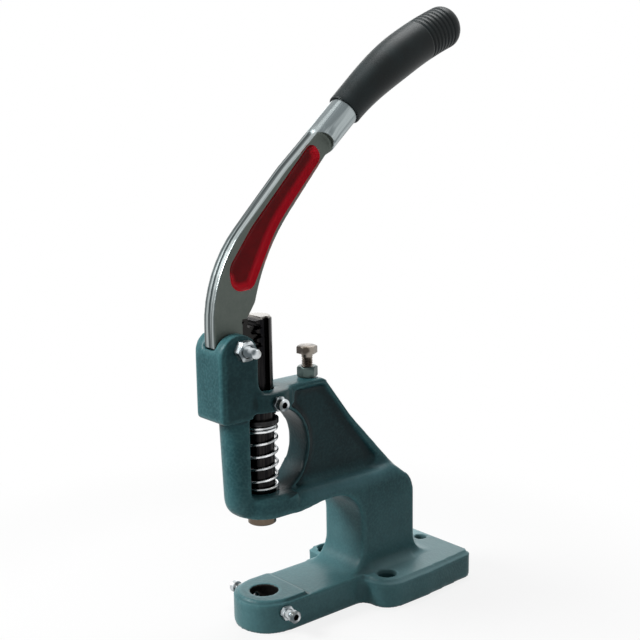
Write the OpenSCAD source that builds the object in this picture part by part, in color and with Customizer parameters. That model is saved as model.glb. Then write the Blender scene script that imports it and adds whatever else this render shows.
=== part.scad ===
// Hand lever eyelet press: a cast C frame on a lobed foot, a round plunger with a rack cut in its top,
// a lever with a toothed sector that drives it down, and a return spring in the window of the head.
// Origin: centre of the die bore at the underside of the foot. +Z up, the front is -Y, millimetres.

/* [Foot and base plate] */
// Height of the foot and of the raised field of the base plate
foot_h = 21; // [19:0.5:24]
// Height of the low rim that runs round the base plate
rim_h = 18.5; // [16:0.5:19]
// Width of the front foot
foot_w = 50; // [48:1:56]
// Distance from the die centre to the front of the foot
foot_front = 21; // [19:1:26]
// Twice the distance of the plate's near side from the middle plane
plate_w = 98.4; // [94:0.4:104]
// Width of the base plate at its rear edge
plate_rear_w = 91.2; // [84:0.4:96]
// Distance of the plate's far side from the middle plane
plate_far = 45.4; // [44:0.2:49]
// Set-back of the far lobe behind the near one
far_step = 4.4; // [0:0.2:6]
// Distance from the die centre to the front edge of the lobes
lobe_y = 73.2; // [70:0.2:76]
// Distance from the die centre to the rear edge of the base plate
plate_rear = 168; // [164:1:176]
// Width of the low rim
rim_w = 2.6; // [1.5:0.1:4]
// Height of the die pad above the foot
pad_h = 2.2; // [1.2:0.1:3]
// Distance of the die pad from the edge of the foot
pad_inset = 2.8; // [1.5:0.1:4]
// Distance from the die centre to the rear edge of the die pad
pad_rear = 21; // [18:1:26]
// Diameter of the die bore
die_bore_d = 20.2; // [16:0.1:24]
// Distance between the two front bench holes
bench_span = 68; // [66:1:72]
// Distance from the die centre to the front bench holes
bench_y = 88; // [86:1:92]
// Diameter of the front bench holes
bench_d = 9; // [7:0.5:10]
// Diameter of the counterbores of the front bench holes
bench_cb_d = 14.5; // [13:0.5:16]
// Depth of the counterbores
bench_cb_depth = 8; // [5:0.5:10]
// Distance from the die centre to the rear bench hole
bench_rear_y = 157; // [155:1:160]
// Diameter of the rear bench hole
bench_rear_d = 9.5; // [7:0.5:11]

/* [Column and throat] */
// Throat depth, from the plunger axis to the face of the column
throat_depth = 76.5; // [74:0.5:80]
// Throat height, from the top of the foot to the underside of the head
throat_h = 65; // [60:1:72]
// Depth of the column
column_d = 51.8; // [48:0.2:56]
// Width of the column and of the lower flange
column_w = 44; // [40:1:46]
// Distance of the side fillets from the column's corners
column_edge_r = 4; // [2:0.5:5]
// Radius of the throat where the column meets the head
throat_top_r = 26; // [20:1:28]
// Radius of the throat where the column meets the foot
throat_foot_r = 19; // [14:1:22]
// Radius behind the column onto the base plate
rear_foot_r = 17; // [12:1:19]
// Radius at the sides of the column onto the base plate
side_foot_r = 7; // [4:0.5:9]
// Thickness of the lower flange
flange_t = 11.5; // [10:0.5:13]
// Rounding of the flange's and the column's upper side edges
flange_edge_r = 9; // [4:0.5:10]

/* [Head] */
// Radius of the lower boss round the plunger
boss_r = 20.5; // [19:0.5:22]
// Drop of the lower boss below the underside of the head
boss_drop = 3; // [2:0.5:4]
// Height of the lower boss
boss_h = 15.8; // [14:0.2:18]
// Radius of the curved rear of the window
window_r = 31.7; // [31:0.1:33]
// Distance from the plunger axis forward to the front edge of the window
window_front = 16.5; // [16:0.1:17.5]
// Distance from the plunger axis back to the centre of the window's curve
window_y = 2; // [0:0.5:4]
// Width of the raised rim of the window
window_rim = 2.8; // [2:0.1:4]
// Radius of the upper collar round the plunger
collar_r = 22; // [20:0.5:23]
// Height of the upper collar
collar_h = 13.5; // [12.5:0.5:15]
// Radius of the fillets from the collar into the web
collar_fillet_r = 6; // [4:0.5:8]
// Thickness of the web at its rims
web_w = 24; // [22:0.5:26]
// Thickness of the web in its recessed panels
panel_t = 14; // [12:0.5:16]
// Distance from the plunger axis to the rear end of the flat top of the head
top_len = 51; // [49:0.5:55]
// Radius of the front pillar
pillar_r = 12; // [11:0.5:13]
// Lean of the front pillar, top forward of bottom
pillar_lean = 2.5; // [1:0.5:4]

/* [Lever housing] */
// Width of the housing over both cheeks
housing_w = 32; // [30:1:36]
// Distance from the plunger axis to the front of the housing
housing_front = 42; // [41:0.5:45]
// Distance from the plunger axis to the rear of the cheeks
housing_rear = 11.4; // [11:0.1:12.5]
// Overhang of the housing below the collar's underside
housing_drop = 3.5; // [2:0.5:5]
// Thickness of the housing's front wall
housing_wall = 3.3; // [2.5:0.1:3.6]
// Depth of the slot below the pivot
slot_depth = 23.5; // [22.8:0.1:25]
// Rounding of the outer edges of the housing
housing_edge_r = 2.5; // [1:0.5:3.5]

/* [Lever and sector] */
// Height of the pivot above the top of the head
pivot_rise = 32.5; // [31:0.5:34]
// Distance of the pivot in front of the plunger axis
pivot_front = 25; // [25:0.5:25.5]
// Thickness of the lever blade
blade_t = 12; // [10:0.5:14]
// Radius of the lever's hub
hub_r = 13; // [11:0.5:13]
// Gear module of rack and sector
gear_m = 2; // [2:0.05:2.05]
// Number of teeth that the sector's pitch circle would hold
gear_z = 20; // [19:1:20]
// Number of teeth on the sector
sector_teeth = 5; // [4:1:5]
// Height of the lever's bend above the pivot
bend_z = 51.8; // [48:0.2:56]
// Radius of the lever's front bend
bend_r = 90; // [70:5:100]
// Depth of the painted recess in each side of the lever
recess_depth = 2.8; // [1:0.2:3.6]
// Diameter of the round bar that carries the grip
bar_d = 22; // [18:0.5:23]
// Slope of the round bar where it enters the grip, in degrees
bar_slope = 41; // [36:1:46]
// Length of the bar that shows between blade and grip
bar_show = 30; // [26:1:34]
// Radius of the shoulder between the blade's flat sides and the bar
shoulder_r = 12; // [11:0.5:18]

/* [Grip] */
// Length of the grip
grip_len = 125; // [110:1:145]
// Radius of the gentle bend of the grip
grip_bend_r = 312; // [250:10:600]
// Diameter of the grip at its open end
grip_d0 = 25; // [24.5:0.5:28]
// Diameter of the grip's thick part
grip_d = 31.4; // [28:0.2:34]
// Number of ring grooves near the end of the grip
groove_n = 7; // [4:1:8]
// Distance from groove to groove
groove_pitch = 3.8; // [3:0.1:4.5]
// Depth of the grooves
groove_depth = 0.8; // [0.3:0.1:1.2]

/* [Plunger] */
// Diameter of the plunger
rod_d = 20; // [18:0.5:21]
// Length of the plunger that shows below the lower boss
rod_show = 8.2; // [4:0.2:12]
// Height of the plunger's top above the pivot
rod_over = 18; // [17:0.2:18.4]
// Chamfer at the top of the plunger
rod_chamfer = 1.5; // [0.5:0.1:2]
// Width of the keyway in the plunger's side
key_w = 5; // [4:0.1:5.5]
// Depth of the keyway
key_depth = 3; // [2:0.1:3.5]
// Diameter of the tapped hole for the punch
punch_d = 6.8; // [5:0.1:9]
// Depth of the tapped hole for the punch
punch_depth = 18; // [10:1:24]

/* [Return spring] */
// Wire diameter
wire_d = 2; // [1.4:0.1:2.2]
// Gap between the plunger and the inside of the coils
coil_gap = 0.65; // [0.4:0.05:1]
// Number of open turns
open_turns = 4.5; // [3:0.25:6]
// Number of closed turns at each end
closed_turns = 1.25; // [1:0.25:1.5]
// Free gap between closed turns
closed_gap = 0.5; // [0.45:0.05:0.8]
// Height of the spring seat to seat
spring_h = 48.7; // [46:0.1:50]
// Thickness of the spring collar on the plunger
ring_t = 3.4; // [2:0.1:4]
// Width of the spring collar outside the plunger
ring_w = 3.2; // [2.8:0.1:3.6]
// Diameter of the cross pin above the spring collar
pin_d = 3.6; // [3:0.1:4]
// Free height of the window above the cross pin
pin_gap = 4.5; // [3:0.1:6.5]

/* [Screws and nuts] */
// Diameter of the pivot bolt and of the stop bolt
bolt_d = 8; // [6:0.5:8]
// Width across flats of the large hexagons
hex_af = 13; // [11:0.5:13.5]
// Height of the bolt heads
head_h = 5.3; // [4:0.1:6]
// Height of the pivot nut
pivot_nut_h = 6.5; // [5:0.1:8]
// Length of pivot bolt that stands out of its nut
pivot_tail = 10.5; // [3:0.5:12]
// Distance of the stop bolt behind the plunger axis
stop_y = 43.5; // [40:0.5:44]
// Height of the stop bolt's lock nut
stop_nut_h = 7.8; // [5:0.1:8]
// Gap between the stop bolt's lock nut and its head
stop_gap = 9.4; // [8.6:0.1:11]
// Length of stop bolt inside the head at rest
stop_depth = 23; // [18:1:24]
// Diameter of the small screws
screw_d = 6; // [5:0.25:6]
// Width across flats of the small lock nuts
small_af = 9.4; // [8.6:0.1:10]
// Width across flats of the sockets in the small screws
socket_af = 4; // [2:0.1:4.5]
// Diameter of the heads of the small screws
cap_d = 8.6; // [7:0.1:9]
// Height of the heads of the small screws
cap_h = 4; // [3:0.1:5]
// Thickness of the guide screw's lock nut
guide_nut_t = 3; // [2:0.1:4]
// Height of the guide screw above the collar's underside
guide_z = 6; // [5.6:0.1:7]
// Height of the die clamp screws above the underside
clamp_z = 14.6; // [13:0.1:15]
// Thickness of the lock nuts of the die clamp screws
clamp_nut_t = 3.6; // [3:0.1:5]
// Thread that shows between lock nut and head of a die clamp screw
clamp_gap = 4.2; // [3.8:0.1:6]
// Distance of the resting clamp screw's tip from the die bore
clamp_rest = 0.8; // [0.4:0.1:2]

/* [Fits] */
// Radial running clearance of plunger, pivot and keyed parts
run_fit = 0.04; // [0.02:0.01:0.08]
// Radial clearance of the adjusting screws in their holes
screw_fit = 0.05; // [0.02:0.01:0.08]
// Clearance on each side of the lever in the housing's slot
slot_fit = 0.3; // [0.2:0.05:0.5]
// Gap below the lever's rest shoulder
rest_gap = 0.3; // [0.2:0.05:0.6]
// Radial clearance between bar and grip
grip_fit = 0.15; // [0.12:0.01:0.3]
// Gap at each end of the return spring
seat_gap = 0.2; // [0.1:0.05:0.3]
// Backlash between rack and sector
backlash = 0.3; // [0.2:0.05:0.4]
// Depth of the spot faces under the small lock nuts
spot_depth = 0.6; // [0.3:0.1:1]

/* [Hidden] */
$fn = 64;
// overlap of fused forms
eps = 1;
// length and end diameter of the bar's taper inside the blade
taper_l = 12;
taper_d = 15;
// levels of the head, counted up from the underside of the foot
head_z = foot_h + throat_h;
boss_z = head_z - boss_drop;
seat_z = boss_z + boss_h;
window_h = spring_h + ring_t + pin_d + pin_gap;
collar_z = seat_z + window_h;
top_z = collar_z + collar_h;
pivot_z = top_z + pivot_rise;
pivot_y = -pivot_front;
rod_r = rod_d / 2;
rod_bottom = boss_z - rod_show;
rod_top = pivot_z + rod_over;
column_front = throat_depth;
column_rear = throat_depth + column_d;
flange_top = head_z + flange_t;
housing_top = pivot_z + 10.5;
slot_w = blade_t + 2 * slot_fit;
slot_z = pivot_z - slot_depth;
slot_front = -housing_front + housing_wall;
lip_z = pivot_z + 0.5;
// gear sizes
pitch_r = gear_m * gear_z / 2;
press_ang = 20;
base_r = pitch_r * cos(press_ang);
tip_r = pitch_r + gear_m;
root_r = pitch_r - 1.25 * gear_m;
pitch_ang = 360 / gear_z;
first_tooth = -20;
pitch_y = pivot_y + pitch_r;
rack_tip_y = pitch_y - gear_m;
rack_root_y = pitch_y + 1.28 * gear_m;
rack_pitch = PI * gear_m;
// spring sizes
coil_r = rod_r + coil_gap + wire_d / 2;
spring_z0 = seat_z + seat_gap + wire_d / 2;
spring_z1 = seat_z + spring_h - seat_gap - wire_d / 2;
closed_pitch = wire_d + closed_gap;
open_pitch = (spring_z1 - spring_z0 - 2 * closed_turns * closed_pitch) / open_turns;
turns = open_turns + 2 * closed_turns;
ring_z = seat_z + spring_h;
coil_steps = ceil(turns * 12);
// grip path: the point on the axis where the grip starts, counted from the pivot
grip_at = [105.9, 152.4];

// ---- plane geometry ----

function unit(v) = v / norm(v);

// arc that rounds the corner b between a and c
function corner_arc(a, b, c, r, n) =
    let (u = unit(a - b), w = unit(c - b), half = acos(u * w) / 2)
    let (m = b + unit(u + w) * r / sin(half), p = b + u * r / tan(half), q = b + w * r / tan(half))
    let (s = atan2(p.y - m.y, p.x - m.x), e = atan2(q.y - m.y, q.x - m.x))
    let (d = (e - s + 540) % 360 - 180)
    [for (i = [0:n]) m + r * [cos(s + d * i / n), sin(s + d * i / n)]];

function xy(p) = [p.x, p.y];

// outline from corners [x, y, radius], rounded one by one
function rounded(c, n) =
    let (k = len(c))
    [for (i = [0:k - 1]) each (c[i][2] > 0
        ? corner_arc(xy(c[(i + k - 1) % k]), xy(c[i]), xy(c[(i + 1) % k]), c[i][2], n)
        : [xy(c[i])])];

// outline moved inwards by d; a negative d moves it outwards
function inset(pts, d) =
    let (k = len(pts))
    [for (i = [0:k - 1])
        let (u = unit(pts[i] - pts[(i + k - 1) % k]), w = unit(pts[(i + 1) % k] - pts[i]))
        let (m = [-u.y, u.x], q = [-w.y, w.x])
        pts[i] + d * (m + q) / (1 + m * q)];

// mirror image of a half outline given from front to rear on the +X side
function both_sides(c) =
    let (k = len(c))
    concat(c, [for (i = [k - 1:-1:0]) [-c[i].x, c[i].y, c[i].z]]);

function flip(v) = [for (i = [len(v) - 1:-1:0]) v[i]];

// faces of a closed stack of rings with n points each
function stack_faces(n, m) = concat(
    [[for (i = [0:n - 1]) i]],
    [for (j = [0:m - 2]) for (i = [0:n - 1])
        let (a = j * n + i, b = j * n + (i + 1) % n)
        each [[a, a + n, b + n], [a, b + n, b]]],
    [[for (i = [n - 1:-1:0]) (m - 1) * n + i]]);

// turns a form drawn in the Y-Z plane and extruded up so that it lies along X
module along_x() {
    rotate([90, 0, 90]) children();
}

module prism_x(pts, w) {
    along_x() translate([0, 0, -w / 2]) linear_extrude(w) polygon(pts);
}

module hexagon(af, h) {
    cylinder(h = h, r = af / 2 / cos(30), $fn = 6);
}

// hexagon with the turned corners of a nut or a bolt head
module hex_body(af, h) {
    intersection() {
        hexagon(af, h);
        union() {
            translate([0, 0, h / 2]) cylinder(h = h / 2, r1 = af / 2 + 1.35, r2 = af / 2 - 0.1);
            cylinder(h = h / 2, r1 = af / 2 - 0.1 + 0.72, r2 = af / 2 + 1.35);
        }
    }
}

// ---- the casting ----

function base_corners() = [
    [foot_w / 2, -foot_front, foot_w / 2 - 0.1],
    [foot_w / 2, lobe_y, 7],
    [plate_w / 2, lobe_y, 16],
    [plate_w / 2, lobe_y + 43, 0],
    [plate_rear_w / 2, plate_rear, 6],
    [-plate_rear_w / 2, plate_rear, 6],
    [-plate_far, lobe_y + far_step, rim_w + 1.4],
    [-foot_w / 2, lobe_y + far_step, 7],
    [-foot_w / 2, -foot_front, foot_w / 2 - 0.1]];

function foot_corners(in, rear, r) = both_sides([
    [foot_w / 2 - in, -foot_front + in, foot_w / 2 - in - 0.1],
    [foot_w / 2 - in, rear, r]]);

// side view of column, throat and lower flange
function frame_corners() = [
    [column_front - throat_foot_r - 8, foot_h - 12, 0],
    [column_rear + rear_foot_r + 2, foot_h - 12, 0],
    [column_rear + rear_foot_r + 2, foot_h, 0],
    [column_rear, foot_h, rear_foot_r],
    [column_rear, head_z - 4, 20],
    [column_rear - 18, flange_top, 6],
    [column_rear - 31, flange_top - 2.2, 8],
    [14, flange_top, 0],
    [14, boss_z, 0],
    [22, boss_z, 20],
    [40, head_z, 20],
    [column_front, head_z, throat_top_r],
    [column_front, foot_h, throat_foot_r],
    [column_front - throat_foot_r - 8, foot_h, 0]];

// side view of the web of the head
function web_corners() = [
    [-window_front - 2, head_z + 2, 0],
    [column_rear - 4.5, head_z + 1, 0],
    [column_rear - 28.5, top_z - 59.2, 80],
    [column_rear - 52.3, top_z - 33.2, 70],
    [top_len, top_z, 8],
    [-window_front - 2, top_z, 0]];

// recessed panel of the web, before the rim of the window is left out of it
function panel_corners() = [
    [18, flange_top + 0.2, 0],
    [column_rear - 40, flange_top - 1.4, 3],
    [column_rear - 26, flange_top + 3.8, 3.5],
    [column_rear - 54.6, top_z - 36.6, 40],
    [top_len - 1, top_z - 4.6, 4],
    [19, top_z - 4.6, 3],
    [19, flange_top + 30, 0]];

// side view of the lever housing
function housing_corners() = [
    [-housing_front, collar_z - housing_drop, 3],
    [-window_front, collar_z - housing_drop, 0],
    [-window_front, collar_z, 0],
    [-3, collar_z, 0],
    [-3, top_z, 0],
    [-housing_rear, top_z, 7],
    [-housing_rear, housing_top, (housing_front - housing_rear) / 2 - 0.1],
    [-housing_front, housing_top, (housing_front - housing_rear) / 2 - 0.1]];

// slab with a rounded outline between two heights
module slab(outline, z0, z1) {
    translate([0, 0, z0]) linear_extrude(z1 - z0) polygon(outline);
}

module base() {
    outline = rounded(base_corners(), 8);
    slab(outline, 0, rim_h);
    slab(inset(outline, rim_w), rim_h - eps, foot_h);
    slab(rounded(foot_corners(0, lobe_y + 20, 2), 12), 0, foot_h);
    slab(rounded(foot_corners(pad_inset, pad_rear, 1.5), 12), foot_h - eps, foot_h + pad_h);
}

// fillets at the sides of the column onto the base plate
module side_fillets() {
    x = column_w / 2;
    r = side_foot_r;
    arc = [for (i = [0:6]) [x + r - r * sin(15 * i), foot_h + r - r * cos(15 * i)]];
    for (side = [0, 1]) mirror([side, 0, 0])
        translate([0, column_rear - column_edge_r, 0]) rotate([90, 0, 0]) linear_extrude(column_d - 2 * column_edge_r)
            polygon(concat([[x - 2, foot_h - 1], [x + r, foot_h - 1]], arc, [[x - 2, foot_h + r]]));
}

// front view of column and flange
function column_front_view() = both_sides([
    [column_w / 2, 0, 0],
    [column_w / 2, flange_top, flange_edge_r]]);

module column() {
    intersection() {
        prism_x(rounded(frame_corners(), 10), column_w);
        translate([0, column_rear + plate_w, 0]) rotate([90, 0, 0]) linear_extrude(column_rear + 2 * plate_w)
            polygon(rounded(column_front_view(), 12));
    }
    side_fillets();
}

// side view of the window: straight front, round rear
window_mid = seat_z + window_h * 0.477;
function window_outline(n) =
    let (a0 = asin((seat_z - window_mid) / window_r), a1 = asin((collar_z - window_mid) / window_r))
    concat([[-window_front, collar_z], [-window_front, seat_z]],
        [for (i = [0:n]) let (a = a0 + (a1 - a0) * i / n) [window_y + window_r * cos(a), window_mid + window_r * sin(a)]]);

module window_cut() {
    prism_x(window_outline(28), 2 * housing_w);
}

module panel_cut() {
    for (side = [0, 1]) mirror([side, 0, 0]) difference() {
        along_x() translate([0, 0, panel_t / 2]) linear_extrude(web_w) polygon(rounded(panel_corners(), 6));
        along_x() translate([window_y, window_mid, 0]) cylinder(h = 2 * web_w, r = window_r + window_rim, $fn = 96);
    }
}

module pillar() {
    pillar_y = -window_front - 0.5;
    foot = 13;
    translate([0, pillar_y, boss_z]) rotate([asin(pillar_lean / window_h), 0, 0]) rotate_extrude()
        polygon(concat([[0, 0.6]], [for (i = [1:7]) [pillar_r * sin(90 * i / 7), 0.6 + foot * (1 - cos(90 * i / 7))]],
            [[pillar_r, collar_z - boss_z + 3], [0, collar_z - boss_z + 3]]));
}

module boss() {
    nose = both_sides([
        [boss_r, -boss_r, boss_r - 0.1],
        [column_w / 2, 13, 0],
        [column_w / 2, 16, 0]]);
    translate([0, 0, boss_z]) linear_extrude(boss_h) polygon(rounded(nose, 14));
}

// plan of the collar: round in front, drawn in by fillets to the web
function collar_outline() =
    let (m = [web_w / 2 + collar_fillet_r, sqrt(pow(collar_r + collar_fillet_r, 2) - pow(web_w / 2 + collar_fillet_r, 2))])
    let (a1 = atan2(m.y, m.x))
    both_sides(concat(
        [for (i = [0:20]) let (a = -88 + (a1 + 88) * i / 20) [collar_r * cos(a), collar_r * sin(a), 0]],
        [for (i = [1:5]) let (a = a1 + 180 - a1 * i / 5) [m.x + collar_fillet_r * cos(a), m.y + collar_fillet_r * sin(a), 0]],
        [[web_w / 2 - 1.5, m.y + 2, 0]]));

module collar() {
    slab([for (p = collar_outline()) xy(p)], collar_z, top_z);
}

module housing() {
    plan = both_sides([
        [housing_w / 2, -housing_front, housing_edge_r],
        [housing_w / 2, 5, 0]]);
    difference() {
        intersection() {
            prism_x(rounded(housing_corners(), 12), housing_w);
            slab(rounded(plan, 4), collar_z - 20, pivot_z + 40);
        }
        translate([-slot_w / 2, slot_front, slot_z]) cube([slot_w, housing_front + rod_r, housing_top]);
        translate([-slot_w / 2, -housing_front - 5, lip_z]) cube([slot_w, housing_front + rod_r, housing_top]);
    }
}

module frame_casting() color([0.17, 0.29, 0.31]) {
    difference() {
        union() {
            base();
            column();
            difference() {
                union() {
                    prism_x(rounded(web_corners(), 8), web_w);
                    pillar();
                }
                window_cut();
                panel_cut();
            }
            boss();
            collar();
            housing();
        }
        // plunger bearing
        translate([0, 0, boss_z - 5]) cylinder(h = pivot_z, r = rod_r + run_fit);
        // die bore
        translate([0, 0, -5]) cylinder(h = foot_h + 20, d = die_bore_d);
        // pivot hole through both cheeks
        translate([-housing_w, pivot_y, pivot_z]) rotate([0, 90, 0]) cylinder(h = 2 * housing_w, r = bolt_d / 2 + run_fit);
        // tapped hole of the stop bolt
        translate([0, stop_y, top_z - stop_depth - 10]) cylinder(h = stop_depth + 20, r = bolt_d / 2 + screw_fit);
        // guide screw hole with its spot face
        translate([0, 0, collar_z + guide_z]) rotate([0, 90, 0]) cylinder(h = collar_r + 5, r = screw_d / 2 + screw_fit);
        translate([collar_r - spot_depth, 0, collar_z + guide_z]) rotate([0, 90, 0])
            cylinder(h = 10, r = small_af / 2 / cos(30) + 0.3);
        // die clamp screw holes with their spot faces
        translate([-foot_w, 0, clamp_z]) rotate([0, 90, 0]) cylinder(h = 2 * foot_w, r = screw_d / 2 + screw_fit);
        for (side = [-1, 1]) translate([side * (foot_w / 2 - spot_depth), 0, clamp_z]) rotate([0, side * 90, 0])
            cylinder(h = 10, r = small_af / 2 / cos(30) + 0.3);
        // bench holes
        for (side = [-1, 1]) translate([side * bench_span / 2, bench_y, -5]) {
            cylinder(h = foot_h + 20, d = bench_d);
            translate([0, 0, 5 + foot_h - bench_cb_depth]) cylinder(h = 20, d = bench_cb_d);
        }
        translate([0, bench_rear_y, -5]) cylinder(h = foot_h + 20, d = bench_rear_d);
    }
}

// ---- plunger and return spring ----

// space between two rack teeth, centred on height 0, cut from the front
module rack_space() {
    half = rack_pitch / 4 + backlash / 2;
    prism_x([
        [rack_tip_y - 6, -half - (gear_m + 6) * tan(press_ang)],
        [rack_root_y, -half + (rack_root_y - pitch_y) * tan(press_ang)],
        [rack_root_y, half - (rack_root_y - pitch_y) * tan(press_ang)],
        [rack_tip_y - 6, half + (gear_m + 6) * tan(press_ang)]], 2 * rod_d);
}

module plunger() color([0.36, 0.35, 0.34]) {
    difference() {
        union() {
            translate([0, 0, rod_bottom]) cylinder(h = 0.6, r1 = rod_r - 0.6, r2 = rod_r);
            translate([0, 0, rod_bottom + 0.6]) cylinder(h = rod_top - rod_bottom - rod_chamfer - 0.6, r = rod_r);
            translate([0, 0, rod_top - rod_chamfer]) cylinder(h = rod_chamfer, r1 = rod_r, r2 = rod_r - rod_chamfer);
        }
        // flat that carries the rack
        translate([-rod_d, rack_tip_y - 20, pivot_z - 11]) cube([2 * rod_d, 20, rod_over + 30]);
        for (i = [0:sector_teeth - 1])
            translate([0, 0, pivot_z + pitch_r * (first_tooth + i * pitch_ang) * PI / 180]) rack_space();
        // keyway, run out at the top
        translate([rod_r - key_depth, -key_w / 2, collar_z + guide_z - key_w / 2 - 1]) cube([rod_d, key_w, rod_top]);
        // tapped hole for the punch
        translate([0, 0, rod_bottom - 1]) cylinder(h = punch_depth + 1, d = punch_d);
        // cross pin hole
        translate([0, -rod_d, ring_z + ring_t + pin_d / 2]) rotate([-90, 0, 0]) cylinder(h = 2 * rod_d, r = pin_d / 2 + run_fit / 2);
    }
}

module spring_collar() color([0.62, 0.63, 0.65]) {
    translate([0, 0, ring_z]) difference() {
        cylinder(h = ring_t, r = rod_r + ring_w);
        translate([0, 0, -1]) cylinder(h = ring_t + 2, r = rod_r + run_fit);
    }
}

module collar_pin() color([0.55, 0.56, 0.58]) {
    translate([0, -rod_r - ring_w, ring_z + ring_t + pin_d / 2]) rotate([-90, 0, 0])
        cylinder(h = 2 * (rod_r + ring_w), d = pin_d);
}

// height of the wire's centre after t turns
function coil_z(t) = spring_z0
    + closed_pitch * min(t, closed_turns)
    + open_pitch * max(0, min(t - closed_turns, open_turns))
    + closed_pitch * max(0, t - closed_turns - open_turns);

function coil_point(i) =
    let (t = turns * i / coil_steps)
    [coil_r * cos(360 * t + 40), coil_r * sin(360 * t + 40), coil_z(t)];

// six points round the wire at step i
function coil_ring(i) =
    let (t = turns * i / coil_steps, p = coil_point(i))
    [for (j = [5:-1:0]) let (r = wire_d / 2 * cos(60 * j + 30))
        p + [r * cos(360 * t + 40), r * sin(360 * t + 40), wire_d / 2 * sin(60 * j + 30)]];

// least free distance between turns, measured from ring to ring
coil_least_gap = min([for (i = [0:coil_steps]) for (j = [i + 9:coil_steps])
    norm(coil_point(i) - coil_point(j)) - wire_d]);
echo(coil_least_gap = coil_least_gap);

module return_spring() color([0.75, 0.76, 0.78]) {
    polyhedron(
        points = [for (i = [0:coil_steps]) each coil_ring(i)],
        faces = stack_faces(6, coil_steps + 1));
}

// ---- lever ----

// involute of the base circle in degrees at radius rho
function inv_deg(rho) = let (a = acos(min(1, base_r / rho))) tan(a) * 180 / PI - a;

// half angle of a sector tooth at radius rho
function tooth_half(rho) = 90 / gear_z + inv_deg(pitch_r) - inv_deg(max(rho, base_r));

flank = [root_r - 0.4, base_r, pitch_r * 0.97, pitch_r, pitch_r * 1.03, pitch_r * 1.065, tip_r];

function tooth(phi) = concat(
    [for (r = flank) r * [cos(phi - tooth_half(r)), sin(phi - tooth_half(r))]],
    [for (r = flip(flank)) r * [cos(phi + tooth_half(r)), sin(phi + tooth_half(r))]]);

sector_end = first_tooth + (sector_teeth - 0.5) * pitch_ang;

// side view of the lever blade, counted from the pivot; the rear lobe overhangs the plunger's top
function blade_corners() = [
    [slot_front - pivot_y - 1.5, lip_z - pivot_z + rest_gap, 0.6],
    [0, lip_z - pivot_z + rest_gap, 0],
    [6, 8, 0],
    [7.6, 15.4, 0],
    [9.2, 16.7, 0],
    [13.3, 19.1, 0.5],
    [16.2, 22.9, 2],
    [19.8, 28.2, 3],
    [29.7, 62.8, 138],
    [89.6, 129.4, 1],
    [78, 140.6, 1],
    [48.5, 115.3, 150],
    [slot_front - pivot_y - 1.5, bend_z, bend_r]];

// outline of the painted recess, counted from the pivot
function recess_corners() = [
    [0.5, 36.5, 9],
    [18.2, 37.5, 8],
    [39.4, 77.5, 110],
    [80.5, 122, 6.5],
    [71.5, 134, 6],
    [18, 79.5, 100],
    [-1.5, 54, 12]];

// point of the bar's axis at length s from the start of the grip, counted from the pivot
function path(s) = s <= 0
    ? grip_at + s * [cos(bar_slope), sin(bar_slope)]
    : grip_at + grip_bend_r * [sin(bar_slope) - sin(bar_slope - turn(s)), cos(bar_slope - turn(s)) - cos(bar_slope)];

// turn of the grip's bend after length s, in degrees
function turn(s) = max(0, s) / grip_bend_r * 180 / PI;

// body of rings [length, radius] that follow the bar's axis
module swept(profile, sides) {
    along_x() translate([pivot_y, pivot_z, 0]) polyhedron(
        points = [for (p = profile)
            let (c = path(p[0]), h = bar_slope - turn(p[0]))
            for (j = [0:sides - 1]) let (a = 360 * j / sides)
                [c.x - p[1] * cos(a) * sin(h), c.y + p[1] * cos(a) * cos(h), p[1] * sin(a)]],
        faces = stack_faces(sides, len(profile)));
}

// the bar: a straight length, then a bent one inside the grip
module bar() {
    core = grip_len - bar_d;
    at = [0, pivot_y + grip_at.x, pivot_z + grip_at.y];
    translate(at) rotate([bar_slope - 90, 0, 0]) {
        translate([0, 0, -bar_show]) cylinder(h = bar_show, d = bar_d);
        translate([0, 0, -bar_show - taper_l]) cylinder(h = taper_l, d1 = taper_d, d2 = bar_d);
        // length of ring that follows the grip's bend
        translate([0, grip_bend_r, 0]) rotate([0, -90, 0]) rotate([0, 0, -90]) intersection() {
            rotate_extrude($fn = 128) translate([grip_bend_r, 0]) circle(d = bar_d);
            translate([0, 0, -bar_d]) linear_extrude(2 * bar_d)
                polygon([[0, 0], [2 * grip_bend_r, 0], 2 * grip_bend_r * [cos(turn(core)), sin(turn(core))]]);
        }
    }
}

module sector() {
    wedge = concat([[0, 0]], [for (i = [0:12]) let (a = first_tooth - pitch_ang / 2 + i * (sector_end + 14 - first_tooth + pitch_ang / 2) / 12)
        2 * root_r * [cos(a), sin(a)]]);
    prism_rel(blade_t) circle(r = hub_r);
    prism_rel(blade_t) intersection() {
        circle(r = root_r);
        polygon(wedge);
    }
    for (i = [0:sector_teeth - 1]) prism_rel(blade_t) polygon(tooth(first_tooth + i * pitch_ang));
}

// extrudes a form drawn round the pivot across the lever
module prism_rel(w) {
    along_x() translate([pivot_y, pivot_z, -w / 2]) linear_extrude(w) children();
}

module lever() color([0.66, 0.67, 0.69]) {
    difference() {
        union() {
            sector();
            prism_rel(blade_t) polygon(rounded(blade_corners(), 8));
            bar();
        }
        translate([-housing_w, pivot_y, pivot_z]) rotate([0, 90, 0]) cylinder(h = 2 * housing_w, r = bolt_d / 2 + run_fit);
        for (side = [0, 1]) mirror([side, 0, 0]) along_x()
            translate([pivot_y, pivot_z, blade_t / 2 - recess_depth]) linear_extrude(10) polygon(rounded(recess_corners(), 8));
        for (side = [0, 1]) mirror([side, 0, 0]) along_x()
            translate([pivot_y, pivot_z, blade_t / 2]) linear_extrude(bar_d)
                translate(path(3 - bar_show - shoulder_r)) circle(r = shoulder_r);
    }
}

// outer radius of the grip at length s
function grip_r(s) = grip_d0 / 2 + (grip_d - grip_d0) / 2 * (1 - cos(min(180, 180 * s / (grip_len * 0.55)))) / 2;

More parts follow.
